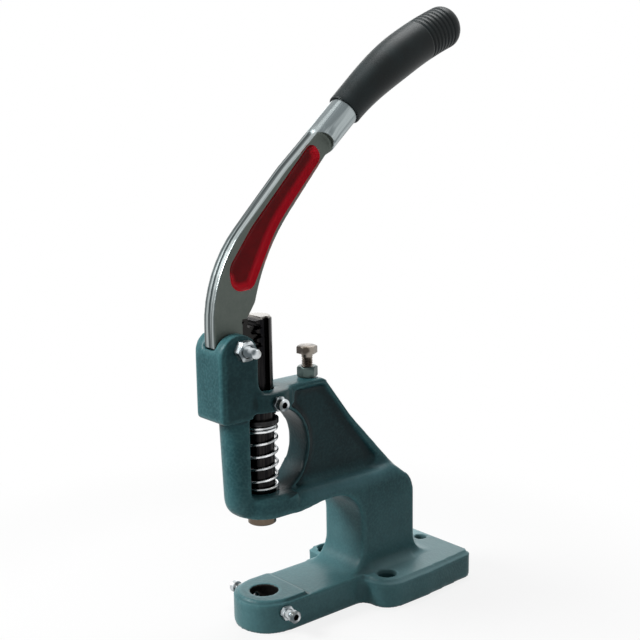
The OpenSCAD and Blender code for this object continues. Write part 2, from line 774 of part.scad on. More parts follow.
module lever_grip() color([0.08, 0.08, 0.09]) {
    bore = (bar_d / 2 + grip_fit) / cos(180 / 28);
    core = grip_len - bar_d;
    grooves = grip_len - 11 - groove_n * groove_pitch;
    dome = grip_len - grip_d * 0.36;
    swept(concat(
        [for (i = [8:-1:0]) [core * i / 8 + (i == 8 ? 0.5 : 0), bore]],
        [[0, grip_d0 / 2 - 0.8], [0.8, grip_d0 / 2]],
        [for (i = [1:7]) [grooves * i / 7.5, grip_r(grooves * i / 7.5)]],
        [for (g = [0:groove_n - 1]) let (s = grooves + g * groove_pitch)
            each [[s, grip_r(s)], [s + 0.5, grip_r(s) - groove_depth], [s + 1.3, grip_r(s) - groove_depth],
                [s + 1.8, grip_r(s)]]],
        [for (i = [0:5]) [dome + (grip_len - dome) * sin(15 * i), grip_d / 2 * cos(15 * i)]],
        [[grip_len, 1]]), 28);
}

// ---- screws, bolts and nuts ----

module pivot_bolt() color([0.72, 0.73, 0.75]) {
    translate([0, pivot_y, pivot_z]) rotate([0, 90, 0]) union() {
        translate([0, 0, -housing_w / 2]) mirror([0, 0, 1]) hex_body(hex_af, head_h);
        translate([0, 0, -housing_w / 2 - 1]) cylinder(h = housing_w + pivot_nut_h + pivot_tail, d = bolt_d);
        translate([0, 0, housing_w / 2 + pivot_nut_h + pivot_tail - 1]) cylinder(h = 1, d1 = bolt_d, d2 = bolt_d - 1.6);
    }
}

module pivot_nut() color([0.74, 0.75, 0.77]) {
    translate([housing_w / 2, pivot_y, pivot_z]) rotate([0, 90, 0]) difference() {
        hex_body(hex_af, pivot_nut_h);
        translate([0, 0, -1]) cylinder(h = pivot_nut_h + 2, r = bolt_d / 2 + screw_fit);
    }
}

module stop_bolt() color([0.6, 0.55, 0.47]) {
    head_bottom = top_z + stop_nut_h + stop_gap;
    translate([0, stop_y, 0]) union() {
        translate([0, 0, head_bottom]) hex_body(hex_af, head_h);
        translate([0, 0, top_z - stop_depth + 1]) cylinder(h = head_bottom - top_z + stop_depth, d = bolt_d);
        translate([0, 0, top_z - stop_depth]) cylinder(h = 1, d1 = bolt_d - 1.6, d2 = bolt_d);
    }
}

module stop_lock_nut() color([0.3, 0.36, 0.34]) {
    translate([0, stop_y, top_z]) difference() {
        hex_body(hex_af, stop_nut_h);
        translate([0, 0, -1]) cylinder(h = stop_nut_h + 2, r = bolt_d / 2 + screw_fit);
    }
}

// socket screw along +X: tip at x0, underside of its head at x1
module socket_screw(x0, x1, tip_r, tip_len) {
    rotate([0, 90, 0]) difference() {
        union() {
            translate([0, 0, x0]) cylinder(h = tip_len + 1, r = tip_r);
            translate([0, 0, x0 + tip_len]) cylinder(h = x1 - x0 - tip_len + 1, d = screw_d);
            translate([0, 0, x1]) cylinder(h = cap_h - 0.5, d = cap_d);
            translate([0, 0, x1 + cap_h - 0.5]) cylinder(h = 0.5, d1 = cap_d, d2 = cap_d - 1);
        }
        translate([0, 0, x1 + cap_h * 0.35]) hexagon(socket_af, cap_h);
    }
}

// small lock nut along +X that starts at x0
module small_nut(x0, t) {
    translate([x0, 0, 0]) rotate([0, 90, 0]) difference() {
        hex_body(small_af, t);
        translate([0, 0, -1]) cylinder(h = t + 2, r = screw_d / 2 + screw_fit);
    }
}

guide_seat = collar_r - spot_depth;
clamp_seat = foot_w / 2 - spot_depth;

module guide_screw() color([0.7, 0.71, 0.73]) {
    translate([0, 0, collar_z + guide_z])
        socket_screw(rod_r - key_depth + 0.3, guide_seat + guide_nut_t + seat_gap, key_w / 2 - run_fit, 3.5);
}

module guide_lock_nut() color([0.66, 0.67, 0.69]) {
    translate([0, 0, collar_z + guide_z]) small_nut(guide_seat, guide_nut_t);
}

module clamp_screw(side) {
    translate([0, 0, clamp_z]) mirror([side < 0 ? 1 : 0, 0, 0])
        socket_screw(die_bore_d / 2 + clamp_rest, clamp_seat + clamp_nut_t + clamp_gap, screw_d / 2 - 1, 1.5);
}

module die_clamp_screw_near() color([0.7, 0.71, 0.73]) {
    clamp_screw(1);
}

module die_clamp_screw_far() color([0.7, 0.71, 0.73]) {
    clamp_screw(-1);
}

module die_clamp_nut_near() color([0.66, 0.67, 0.69]) {
    translate([0, 0, clamp_z]) small_nut(clamp_seat, clamp_nut_t);
}

module die_clamp_nut_far() color([0.66, 0.67, 0.69]) {
    translate([0, 0, clamp_z]) mirror([1, 0, 0]) small_nut(clamp_seat, clamp_nut_t);
}

frame_casting();
plunger();
return_spring();
spring_collar();
collar_pin();
lever();
lever_grip();
pivot_bolt();
pivot_nut();
stop_bolt();
stop_lock_nut();
guide_screw();
guide_lock_nut();
die_clamp_screw_near();
die_clamp_screw_far();
die_clamp_nut_near();
die_clamp_nut_far();
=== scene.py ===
import math

import bmesh
import bpy
import numpy as np
from mathutils import Matrix, Vector


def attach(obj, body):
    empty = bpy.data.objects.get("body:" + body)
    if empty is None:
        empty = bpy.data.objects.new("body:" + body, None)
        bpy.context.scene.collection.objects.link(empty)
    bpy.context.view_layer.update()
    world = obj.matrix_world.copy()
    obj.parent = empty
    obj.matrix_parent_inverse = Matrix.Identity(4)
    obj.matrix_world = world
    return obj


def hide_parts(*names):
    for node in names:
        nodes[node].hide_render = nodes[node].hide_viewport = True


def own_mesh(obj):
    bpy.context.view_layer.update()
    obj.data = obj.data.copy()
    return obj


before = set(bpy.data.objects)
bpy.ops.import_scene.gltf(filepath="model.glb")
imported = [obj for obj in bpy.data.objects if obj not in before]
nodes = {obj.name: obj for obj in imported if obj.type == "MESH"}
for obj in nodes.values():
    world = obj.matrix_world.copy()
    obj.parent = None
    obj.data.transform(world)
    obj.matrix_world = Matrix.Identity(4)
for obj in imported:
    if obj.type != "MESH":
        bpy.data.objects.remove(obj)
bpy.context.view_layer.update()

# Measures in mm, in the press's frame: X across, Y to the rear, Z up from the underside of the foot.
MM = 0.001
WINDOW_Y, WINDOW_Z = 2, 127.5
BORE_R = 10.9
BENCH_HOLES = ((34, 88), (-34, 88), (0, 157))
CHEEK_X = 16
STOP_Y = 43.5
GUIDE_Z = 165
CLAMP_Z = 14.6
SPRING_FOOT, SPRING_H = 98.8, 48.7
BLADE_SIDE = 5.95
RECESS_DEPTH = 3.2


# ---- finishes ----

class Value:
    """A number, colour or vector on its way through a finish. Sums and products add their nodes."""

    def __init__(self, finish, socket):
        self.finish, self.socket = finish, socket

    def math(self, operation, *rest):
        return self.finish.node("ShaderNodeMath", {"operation": operation}, [self, *rest])

    def __add__(self, other):
        return self.math("ADD", other)

    def __sub__(self, other):
        return self.math("SUBTRACT", other)

    def __rsub__(self, other):
        return self.finish.node("ShaderNodeMath", {"operation": "SUBTRACT"}, [other, self])

    def __mul__(self, other):
        return self.math("MULTIPLY", other)

    __radd__, __rmul__ = __add__, __mul__

    def rise(self, low, high):
        """0 up to low, 1 from high on, and smooth between."""
        return self.finish.node("ShaderNodeMapRange", {"interpolation_type": "SMOOTHSTEP"}, [self, low, high])

    def past(self, start, end):
        """0 up to start and 1 from end on, both in mm."""
        return self.rise(start * MM, end * MM)

    def before(self, start, end):
        """1 up to start and 0 from end on, both in mm."""
        return 1 - self.past(start, end)

    def within(self, start, full, fading, end):
        """0 up to start, 1 from full to fading and 0 from end on, all in mm."""
        return self.past(start, full) * self.before(fading, end)


class Nodes:
    """The nodes of a material or of the world."""

    def __init__(self, holder):
        holder.use_nodes = True
        self.holder, self.tree = holder, holder.node_tree
        self.tree.nodes.clear()

    def node(self, kind, settings=None, values=(), out=0):
        made = self.tree.nodes.new(kind)
        for name, value in (settings or {}).items():
            setattr(made, name, value)
        for key, value in values.items() if isinstance(values, dict) else enumerate(values):
            socket = made.inputs[key]
            if isinstance(value, Value):
                self.tree.links.new(value.socket, socket)
            elif socket.type == "RGBA":
                socket.default_value = (*value, 1)
            else:
                socket.default_value = value
        return Value(self, made.outputs[out]) if made.outputs else None

    def shown_white(self):
        """1 where the camera, or a reflection or a view through glass, looks at it."""
        kinds = ("Camera", "Glossy", "Transmission")
        rays = [self.node("ShaderNodeLightPath", out=f"Is {kind} Ray") for kind in kinds]
        return rays[0].math("MAXIMUM", rays[1]).math("MAXIMUM", rays[2])


class Finish(Nodes):
    """One finish of the press."""

    def __init__(self, name):
        super().__init__(bpy.data.materials.new(name))
        self.place = self.node("ShaderNodeTexCoord", out="Object")
        self.x, self.y, self.z = (
            self.node("ShaderNodeSeparateXYZ", values=[self.place], out=i) for i in range(3))
        self.aside = self.x.math("ABSOLUTE")

    def stretched(self, vector, scale):
        return self.node("ShaderNodeVectorMath", {"operation": "MULTIPLY"}, [vector, scale])

    def noise(self, scale, detail=3, rough=0.5, at=None):
        values = {"Vector": at or self.place, "Scale": scale, "Detail": detail, "Roughness": rough}
        return self.node("ShaderNodeTexNoise", {}, values)

    def cells(self, scale, at):
        return self.node("ShaderNodeTexVoronoi", {"feature": "SMOOTH_F1"},
                         {"Vector": at, "Scale": scale, "Smoothness": 0.6})

    def shift(self, vector, amount, scale):
        """vector, pushed about by a noise of that scale."""
        drift = self.node("ShaderNodeTexNoise", {}, {"Vector": vector, "Scale": scale}, out=1)
        drift = self.node("ShaderNodeVectorMath", {"operation": "SUBTRACT"}, [drift, (0.5, 0.5, 0.5)])
        drift = self.node("ShaderNodeVectorMath", {"operation": "SCALE"}, {0: drift, "Scale": amount})
        return self.node("ShaderNodeVectorMath", {"operation": "ADD"}, [vector, drift])

    def blend(self, low, high, by):
        return self.node("ShaderNodeMix", {"data_type": "RGBA"}, {0: by, 6: low, 7: high}, out=2)

    def painted(self, name, out="Fac"):
        """A value that the mesh carries at its points."""
        return self.node("ShaderNodeAttribute", {"attribute_name": name}, out=out)

    def surface(self, height=None, strength=0.5, distance=0.0002, **values):
        values = {name.replace("_", " "): value for name, value in values.items()}
        if height is not None:
            bump = {"Strength": strength, "Distance": distance, "Height": height}
            values["Normal"] = self.node("ShaderNodeBump", {}, bump)
        shader = self.node("ShaderNodeBsdfPrincipled", {}, values)
        self.node("ShaderNodeOutputMaterial", {}, [shader])
        return self


def painted_shade(f):
    """Painted shade: darker inside the window, round it, on the web's panels, the head's sides and the
    throat's rear.
    """
    across, above = f.y - WINDOW_Y * MM, f.z - WINDOW_Z * MM
    ring = (across * across + above * above).math("SQRT")
    window = ring.before(32, 33) * f.y.past(4, 10)
    rim = ring.within(32, 33, 35, 41) * f.y.past(18, 28)
    panel = f.aside.before(7.6, 10.5) * ring.past(33.5, 35)
    panel = panel * f.y.within(14, 20, 100, 110) * f.z.within(97, 106, 166, 170)
    head = f.aside.past(14.5, 17) * f.y.within(-39, -36, 20, 42) * f.z.past(138, 152)
    throat = f.aside.before(19, 22) * f.y.within(52, 60, 66, 78) * f.z.within(24, 40, 84, 88)
    return (window * 0.8 + rim * 0.35 + panel * 0.65 + head * 0.5 + throat * 0.4).math("MINIMUM", 0.85)


def hammered_enamel():
    f = Finish("hammered_enamel")
    dimples = f.cells(560, f.shift(f.place, 0.0016, 420))
    fine = f.noise(1500, 2)
    patches = f.noise(34, 4, 0.6)
    edge = f.painted("edge")
    colour = f.blend((0.010, 0.056, 0.066), (0.026, 0.094, 0.106), patches.rise(0.3, 0.7))
    # Lighter hammer dimples, and lighter outer edges: worn paint there, and partly a painted edge highlight.
    bright = dimples.rise(0.35, 0.75) * 0.25 + edge.rise(0.15, 0.9) * 0.35
    colour = f.blend(colour, (0.070, 0.190, 0.205), bright)
    # Painted shade: darker in inner corners and creases.
    colour = f.blend(colour, (0.003, 0.016, 0.020), (edge * -1).rise(0.1, 0.8) * 0.6)
    # Painted floor-bounce light: the enamel is lighter towards the foot, in patches.
    lighter_share = f.z.before(15, 120) * (0.36 + patches * 0.4)
    colour = f.blend(colour, (0.085, 0.190, 0.205), lighter_share)
    # Painted sheen: the top of the plate lighter towards the rear.
    plate_top_sheen = f.z.within(17, 18.5, 21.5, 30) * f.y.past(66, 100)
    colour = f.blend(colour, (0.225, 0.370, 0.395), plate_top_sheen * (0.45 + patches * 0.3))
    # Painted highlight along the arm's upper rounded edge.
    arm_highlight = f.aside.past(9, 16) * f.z.within(84, 92, 99, 104) * f.y.within(16, 40, 98, 120)
    colour = f.blend(colour, (0.110, 0.235, 0.265), arm_highlight * (0.25 + patches * 0.5))
    # Painted shade inside and round the window, on the web's panels, the head's sides and the throat's rear.
    colour = f.blend(colour, (0.003, 0.010, 0.012), painted_shade(f))
    bore = (f.x * f.x + f.y * f.y).math("SQRT").before(10.2, 10.6)
    colour = f.blend(colour, (0.030, 0.028, 0.026), bore)
    return f.surface(dimples * 0.8 + fine * 0.2, 0.4, 0.0003,
                     Base_Color=colour, Metallic=bore * 0.8,
                     Roughness=0.26 + patches * 0.12 + fine * 0.06, Specular_IOR_Level=0.12)


def burnished_plunger():
    f = Finish("burnished_plunger")
    streaks = f.noise(900, 3, 0.6, f.stretched(f.place, (1, 1, 0.03)))
    stains = f.noise(70, 4, 0.6)
    turning = f.noise(300, 2, 0.5, f.stretched(f.place, (0.02, 0.02, 6)))
    ground = f.z.past(221.3, 222.6)
    nose = f.z.before(79, 84)
    flat = f.y.before(-6.98, -6.85) * f.z.past(192, 194) * (1 - ground)
    colour = f.blend((0.006, 0.006, 0.007), (0.026, 0.024, 0.023), streaks.rise(0.35, 0.75))
    colour = f.blend(colour, (0.006, 0.006, 0.006), flat)
    colour = f.blend(colour, (0.20, 0.155, 0.115), nose * (0.35 + stains * 0.5))
    colour = f.blend(colour, (0.38, 0.365, 0.34), ground * (0.55 + stains * 0.45))
    return f.surface(streaks + turning * 0.3, 0.12, 0.0001, Base_Color=colour, Metallic=1 - flat * 0.8,
                     Roughness=0.18 + streaks * 0.14 + ground * 0.12 + flat * 0.3, Specular_IOR_Level=0.2)


def plated(name, bright, dull, rough=0.2, tint=(0.42, 0.39, 0.33)):
    """Plating on a small piece: cloudy, faintly yellowed, with fine marks and painted shade in a screw's
    socket.
    """
    f = Finish(name)
    clouds = f.noise(150, 1, 0.4)
    marks = f.noise(1400, 3, 0.7, f.shift(f.place, 0.002, 300))
    base = f.blend(dull, bright, clouds.rise(0.38, 0.62))
    base = f.blend(base, tint, f.noise(120, 2).rise(0.5, 0.8) * 0.35)
    # Painted shade in a screw's socket.
    base = f.blend(base, (0.012, 0.012, 0.013), f.painted("socket_shade"))
    return f.surface(marks, 0.15, 0.0001, Base_Color=base, Metallic=1.0,
                     Roughness=rough + clouds * 0.12 + marks * 0.1)


def lever_plating():
    """Bright edges with lengthwise bands, dull flat sides, red enamel in the recess with a painted highlight
    along its lower wall.
    """
    f = Finish("lever_plating")
    grain = f.painted("grain", "Vector")
    lines = f.noise(1, 3, 0.6, f.stretched(grain, (900, 900, 16)))
    bands = f.noise(1, 2, 0.5, f.stretched(grain, (150, 330, 4)))
    pits = f.noise(500, 4, 0.7)
    clouds = f.noise(90, 4, 0.6)
    round_bar = f.painted("round")
    side = f.aside.past(5.45, 5.85) * (1 - round_bar)
    flank = f.blend((0.084, 0.104, 0.093), (0.152, 0.172, 0.155), clouds * 0.55 + pits * 0.45)
    steel = f.blend((0.030, 0.042, 0.044), (0.36, 0.40, 0.40), bands.rise(0.46, 0.60))
    steel = f.blend(steel, (0.12, 0.145, 0.145), lines.rise(0.48, 0.7) * 0.75)
    steel = f.blend(steel, (0.42, 0.48, 0.50), round_bar * 0.35)
    steel = f.blend(steel, flank, side)
    steel = f.blend(steel, (0.030, 0.029, 0.028), f.painted("tooth").rise(0.2, 0.8))
    wall = f.painted("wall")
    paint = f.painted("recess").rise(0.35, 0.65) * f.aside.before(5.7, 5.82)
    red = f.blend((0.200, 0.001, 0.004), (0.270, 0.002, 0.006), clouds.rise(0.3, 0.7))
    # Painted highlight: brighter red along the recess's lower wall.
    red = f.blend(red, (0.95, 0.012, 0.035), wall.rise(0.0, 0.6))
    colour = f.blend(steel, red, paint)
    metal = (1 - paint) * (1 - side * 0.35)
    bare = 0.22 + lines * 0.14 + side * 0.22
    rough = f.node("ShaderNodeMix", {"data_type": "FLOAT"}, {0: paint, 2: bare, 3: 0.26})
    return f.surface((bands * 0.6 + lines * 0.4 + pits * 0.12) * (1 - paint), 0.35, 0.00022,
                     Base_Color=colour, Metallic=metal, Roughness=rough, Specular_IOR_Level=0.1)


def grip_rubber():
    f = Finish("grip_rubber")
    skin = f.noise(2600, 2)
    lighter_share = f.noise(45, 4, 0.6)
    colour = f.blend((0.002, 0.0055, 0.006), (0.007, 0.0145, 0.0160), lighter_share.rise(0.35, 0.7))
    return f.surface(skin, 0.14, 0.00012, Base_Color=colour,
                     Roughness=0.32 + lighter_share * 0.16 + skin * 0.06, Specular_IOR_Level=0.2)


ENAMEL = hammered_enamel()
PLUNGER = burnished_plunger()
ZINC = plated("bright_zinc", (0.60, 0.64, 0.66), (0.10, 0.12, 0.13))
DULL_ZINC = plated("dull_zinc", (0.085, 0.086, 0.088),
                   (0.022, 0.022, 0.023), 0.24, (0.07, 0.065, 0.055))
SPRING_ZINC = plated("spring_zinc", (0.80, 0.82, 0.83), (0.36, 0.38, 0.39), 0.16)
OLD_ZINC = plated("yellowed_zinc", (0.27, 0.245, 0.215),
                  (0.060, 0.052, 0.044), 0.28, (0.17, 0.13, 0.09))
DARK_NUT = plated("dark_nut_steel", (0.082, 0.112, 0.106),
                  (0.030, 0.045, 0.045), 0.26, (0.10, 0.115, 0.10))
LEVER = lever_plating()
RUBBER = grip_rubber()


# ---- making pieces ----

def piece(name, mesh, finish, body, stands_for=(), sharp=38):
    made = bpy.data.objects.new(name, mesh)
    bpy.context.scene.collection.objects.link(made)
    mesh.materials.clear()
    mesh.materials.append(finish.holder)
    mesh.shade_smooth()
    if sharp:
        mesh.set_sharp_from_angle(angle=math.radians(sharp))
    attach(made, body)
    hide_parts(*stands_for)
    return made


def rings_mesh(name, rings, loop=False):
    """Mesh through rings of points. Ends are closed by a fan, or the last ring joins the first."""
    rings = np.asarray(rings, float)
    count, sides = rings.shape[:2]
    points = [tuple(p) for p in rings.reshape(-1, 3)]
    faces = []
    for i in range(count if loop else count - 1):
        a, b = i * sides, (i + 1) % count * sides
        faces += [(a + j, a + (j + 1) % sides, b + (j + 1) % sides, b + j) for j in range(sides)]
    if not loop:
        for i, turn in ((0, -1), (count - 1, 1)):
            hub = len(points)
            points.append(tuple(rings[i].mean(0)))
            edge = [(i * sides + j, i * sides + (j + 1) % sides) for j in range(sides)]
            faces += [(hub, *(e if turn > 0 else e[::-1])) for e in edge]
    mesh = bpy.data.meshes.new(name)
    mesh.from_pydata(points, [], faces)
    work = bmesh.new()
    work.from_mesh(mesh)
    bmesh.ops.recalc_face_normals(work, faces=work.faces)
    work.to_mesh(mesh)
    work.free()
    return mesh


SIDES = 96
ROUND = np.arange(SIDES) * 2 * math.pi / SIDES


def axis_frame(origin, direction):
    """Turns (across, across, along) in mm into the press's frame."""
    along = Vector(direction).normalized()
    first = Vector((0, 1, 0)) if abs(along.x) > 0.5 else Vector((1, 0, 0))
    second = along.cross(first)
    return np.array([first, second, along]), np.array(origin, float)


def turned(name, rows, place, loop=False):
    """rows are (height, radius or radii) along the axis of place."""
    turn, origin = place
    rings = []
    for height, radius in rows:
        radius = np.broadcast_to(radius, ROUND.shape)
        local = np.stack([radius * np.cos(ROUND), radius * np.sin(ROUND), np.full(SIDES, height)], 1)
        rings.append((local @ turn + origin) * MM)
    return rings_mesh(name, rings, loop)


def hexagon(flats):
    """Radius of a hexagon all round, with corners on the second axis."""
    return flats / 2 / np.cos(ROUND % math.radians(60) - math.radians(30))


def hex_rows(start, height, flats, top=True, bottom=True):
    """Rows of a hexagon whose corners are turned off at its faces."""
    corners = hexagon(flats)
    steps = (0, 0.12, 0.25, 0.4, 0.6, 0.9, 1.2)

    def turned_off(t, wanted):
        return np.minimum(corners, flats / 2 - 0.15 + t * 1.6) if wanted else corners

    rows = [(start + t, turned_off(t, bottom)) for t in steps]
    return rows + [(start + height - t, turned_off(t, top)) for t in steps[::-1]]


def thread_rows(start, end, radius, pitch, runout=True):
    """Rows of a screw thread from start to end, its end bevelled."""
    rows = []
    depth = 0.56 * pitch
    for height in np.arange(start, end + 1e-6, pitch / 8):
        phase = (height / pitch - ROUND / (2 * math.pi)) % 1
        ridge = np.clip(np.abs(phase - 0.5) * 2.4 - 0.1, 0, 1)
        r = radius - depth * (1 - ridge)
        fade = min(1.0, (height - start) / pitch) if runout else 1.0
        r = radius - (radius - r) * fade
        rows.append((height, np.minimum(r, radius - depth * 1.1 + (end - height) * 1.0)))
    return rows


def bolt(name, place, head_h, flats, length, radius, pitch, plain, tail=None):
    """Hexagon bolt: head below 0, thread from plain to length. A slimmer tail is (start, radius)."""
    rows = hex_rows(-head_h, head_h, flats, top=False)
    rows += [(0.0, radius + 0.25), (0.25, radius)]
    thread = thread_rows(plain, length, radius, pitch)
    if tail:
        slim = thread_rows(tail[0], length, tail[1], pitch, runout=False)
        thread = [row for row in thread if row[0] < tail[0] - 0.4] + slim
    return turned(name, rows + thread, place)


def nut(name, place, height, flats, bore):
    rows = hex_rows(0, height, flats)
    rows += [(height, bore + 0.55), (height - 0.5, bore), (0.5, bore), (0, bore + 0.55)]
    return turned(name, rows, place, loop=True)


def cap_screw(name, place, tip, tip_len, body_end, radius, cap_r, cap_h, socket, pitch=1.0):
    """Socket screw with its tip at 0."""
    rows = [(0, tip - 0.5), (0.5, tip), (tip_len, tip), (tip_len + 0.3, radius - 0.55)]
    thread = thread_rows(tip_len + 0.4, body_end - 0.4, radius, pitch)
    rows += [(h, r) for h, r in thread if h < body_end - 1.2]
    rows += [(body_end - 0.6, radius - 0.5), (body_end, radius - 0.5)]
    rows += [(body_end, cap_r - 0.25), (body_end + 0.25, cap_r)]
    knurl = cap_r - 0.14 * (np.arange(SIDES) % 3 == 0)
    top = body_end + cap_h
    rows += [(body_end + 0.45, knurl), (top - 0.9, knurl), (top - 0.7, cap_r)]
    rows += [(top - 0.45, cap_r), (top - 0.12, cap_r - 0.25), (top, cap_r - 0.6)]
    hole = hexagon(socket)
    floor = body_end + cap_h * 0.35
    rows += [(top, np.maximum(hole, socket / 2 * 1.16)), (top - 0.25, hole)]
    rows += [(floor, hole), (floor - 0.3, 0.4)]
    made = turned(name, rows, place)
    # The socket's points carry painted shade.
    socket_shade = np.zeros(len(made.vertices))
    socket_shade[(len(rows) - 3) * SIDES:len(rows) * SIDES] = 1
    socket_shade[-1] = 1
    carry(made, "socket_shade", socket_shade)
    return made


# ---- the casting and the lever: softened from their solids ----

def rounded(corners, steps=10):
    """Outline with its corners [y, z, radius] rounded."""
    out = []
    for i, (y, z, r) in enumerate(corners):
        here = np.array([y, z], float)
        a = np.array(corners[i - 1][:2], float) - here
        b = np.array(corners[(i + 1) % len(corners)][:2], float) - here
        a, b = a / np.linalg.norm(a), b / np.linalg.norm(b)
        half = math.acos(np.clip(a @ b, -1, 1)) / 2
        if r < 0.01:
            out.append(here)
            continue
        reach = r / math.tan(half)
        centre = here + (a + b) / np.linalg.norm(a + b) * r / math.sin(half)
        start, stop = here + a * reach - centre, here + b * reach - centre
        for t in np.linspace(0, 1, steps):
            way = start * (1 - t) + stop * t
            out.append(centre + way / np.linalg.norm(way) * r)
    return np.array(out)


def line_distance(points, line, closed=True):
    """Distance to a line of points, length along it, and side of it."""
    ends = np.roll(line, -1, 0) if closed else line[1:]
    starts = line if closed else line[:-1]
    best = np.full(len(points), 1e9)
    length, side = np.zeros(len(points)), np.zeros(len(points))
    run = 0.0
    for a, b in zip(starts, ends):
        way = b - a
        size = max(np.linalg.norm(way), 1e-9)
        t = np.clip(((points - a) @ way) / size ** 2, 0, 1)
        gap = points - (a + t[:, None] * way)
        far = np.linalg.norm(gap, axis=1)
        near = far < best
        best[near] = far[near]
        length[near] = run + t[near] * size
        side[near] = (way[0] * gap[near, 1] - way[1] * gap[near, 0])
        run += size
    return best, length, side


def inside(points, outline):
    hits = np.zeros(len(points), int)
    for a, b in zip(outline, np.roll(outline, -1, 0)):
        cross = (a[1] > points[:, 1]) != (b[1] > points[:, 1])
        at = a[0] + (points[:, 1] - a[1]) * (b[0] - a[0]) / (b[1] - a[1] if b[1] != a[1] else 1e-12)
        hits += cross & (points[:, 0] < at)
    return hits % 2 == 1


def skin(node, grain):
    """Even fine mesh over the node's solid, as points, faces and edges."""
    source = nodes[node]
    work = bmesh.new()
    work.from_mesh(source.data)
    bmesh.ops.remove_doubles(work, verts=work.verts, dist=1e-6)
    plain = bpy.data.meshes.new(node + "_plain")
    work.to_mesh(plain)
    work.free()
    holder = bpy.data.objects.new(node + "_holder", plain)
    bpy.context.scene.collection.objects.link(holder)
    remesh = holder.modifiers.new("even", "REMESH")
    remesh.mode = "VOXEL"
    remesh.voxel_size = grain
    made = bpy.data.meshes.new_from_object(holder.evaluated_get(bpy.context.evaluated_depsgraph_get()))
    bpy.data.objects.remove(holder)
    bpy.data.meshes.remove(plain)
    points = np.zeros(len(made.vertices) * 3)
    made.vertices.foreach_get("co", points)
    edges = np.zeros(len(made.edges) * 2, int)
    made.edges.foreach_get("vertices", edges)
    return made, points.reshape(-1, 3) / MM, edges.reshape(-1, 2)


def neighbours_mean(points, edges):
    total = np.zeros_like(points)
    count = np.bincount(edges.ravel(), minlength=len(points))[:, None]
    for axis in range(points.shape[1]):
        total[:, axis] = (np.bincount(edges[:, 0], points[edges[:, 1], axis], len(points))
                          + np.bincount(edges[:, 1], points[edges[:, 0], axis], len(points)))
    return total / np.maximum(count, 1)


def soften(points, edges, share, rounds):
    for _ in range(rounds):
        points = points + (neighbours_mean(points, edges) - points) * share[:, None]
    return points


def edge_value(mesh, points, edges):
    """Above 0 on outer edges and below 0 in inner corners, about 1 at the sharpest."""
    mesh.vertices.foreach_set("co", (points * MM).ravel())
    mesh.update()
    normals = np.zeros(len(points) * 3)
    mesh.vertices.foreach_get("normal", normals)
    bend = ((points - neighbours_mean(points, edges)) * normals.reshape(-1, 3)).sum(1)[:, None]
    for _ in range(3):
        bend = neighbours_mean(bend, edges)
    return bend[:, 0]


def carry(mesh, name, values, kind="FLOAT"):
    layer = mesh.attributes.new(name, kind, "POINT")
    layer.data.foreach_set("value" if kind == "FLOAT" else "vector", np.asarray(values, np.float32).ravel())


def smooth_step(value, low, high):
    t = np.clip((value - low) / (high - low), 0, 1)
    return t * t * (3 - 2 * t)


def arm_fillet(p, radius=10.0):
    """Hollow between the web's panel and the top of the arm, run out towards window and column."""
    u = np.abs(p[:, 0]) - 7
    v = p[:, 2] - (97.5 - 2.2 * (p[:, 1] - 14) / 83.3)
    reach = np.hypot(u - radius, v - radius)
    where = (u > -0.8) & (u < radius) & (v > -1.6) & (v < radius) & (reach > radius)
    amount = where * smooth_step(p[:, 1], 22, 34) * (1 - smooth_step(p[:, 1], 88, 100))
    amount = amount * (1 - smooth_step(u, 5, radius))
    pull = amount * (1 - radius / np.maximum(reach, radius))
    p = p.copy()
    p[:, 0] += np.sign(p[:, 0]) * (radius - u) * pull
    p[:, 2] += (radius - v) * pull
    return p


def casting():
    mesh, p, edges = skin("frame_casting", 1.0 * MM)
    x, y, z = p.T
    share = np.full(len(p), 0.5)
    off_axis = np.hypot(x, y)

    def calmer(where, value):
        share[where] = np.minimum(share[where], value)

    calmer((z > 20.2) & (y < 24) & (z < 24), 0.05)
    calmer((z > 16.5) & (z < 21.6) & (y > 60) & (np.abs(x) > 25), 0.04)
    calmer((z > 16.5) & (z < 21.6) & (y > 150), 0.04)
    calmer((np.abs(x) > 10.5) & (z > 96) & (z < 162) & (y > 8) & (y < 40), 0.3)
    calmer((z > 155) & (y < -10), 0.3)
    for hx, hy in BENCH_HOLES:
        calmer(np.hypot(x - hx, y - hy) < 9.5, 0.1)
    calmer((off_axis < 13) & (z < 25), 0.1)
    calmer((off_axis < 12.5) & (z > 80), 0.14)
    calmer((np.abs(x) < 9.5) & (z > 179) & (y < -8), 0.22)
    bored = (z < 22.6) | ((z > 84) & (z < 98)) | ((z > 160) & (z < 171.5))
    share[(off_axis < BORE_R) & bored] = 0
    underside = np.abs(z) < 0.05
    p = arm_fillet(p)
    p = soften(p, edges, share, 16)
    web = (np.abs(x) > 6.3) & (np.abs(x) < 22.5) & (z > 88) & (z < 170) & (y > 30) & (y < 126)
    p = soften(p, edges, np.where(web, 0.5, 0), 26)
    # The bores stay wide enough for die and plunger.
    r = np.hypot(p[:, 0], p[:, 1])
    bore = (r < BORE_R) & (z > 0.3) & ((z < 25) | ((z > 82) & (z < 99.5)) | ((z > 158) & (z < 173)))
    p[:, :2] *= np.where(bore, np.maximum(r, 10.06) / r, 1)[:, None]
    p[:, 2] = np.where(underside, 0, np.clip(p[:, 2], 0, None))
    carry(mesh, "edge", np.clip(edge_value(mesh, p, edges) / 0.03, -1, 1))
    return piece("casting", mesh, ENAMEL, "frame", ["frame_casting"], sharp=None)


PIVOT = np.array([-25.0, 205.0])
BAR_START = np.array([105.9, 152.4])
BAR_SLOPE = math.radians(41)
GRIP_BEND = 312.0
GRIP_LEN = 125.0


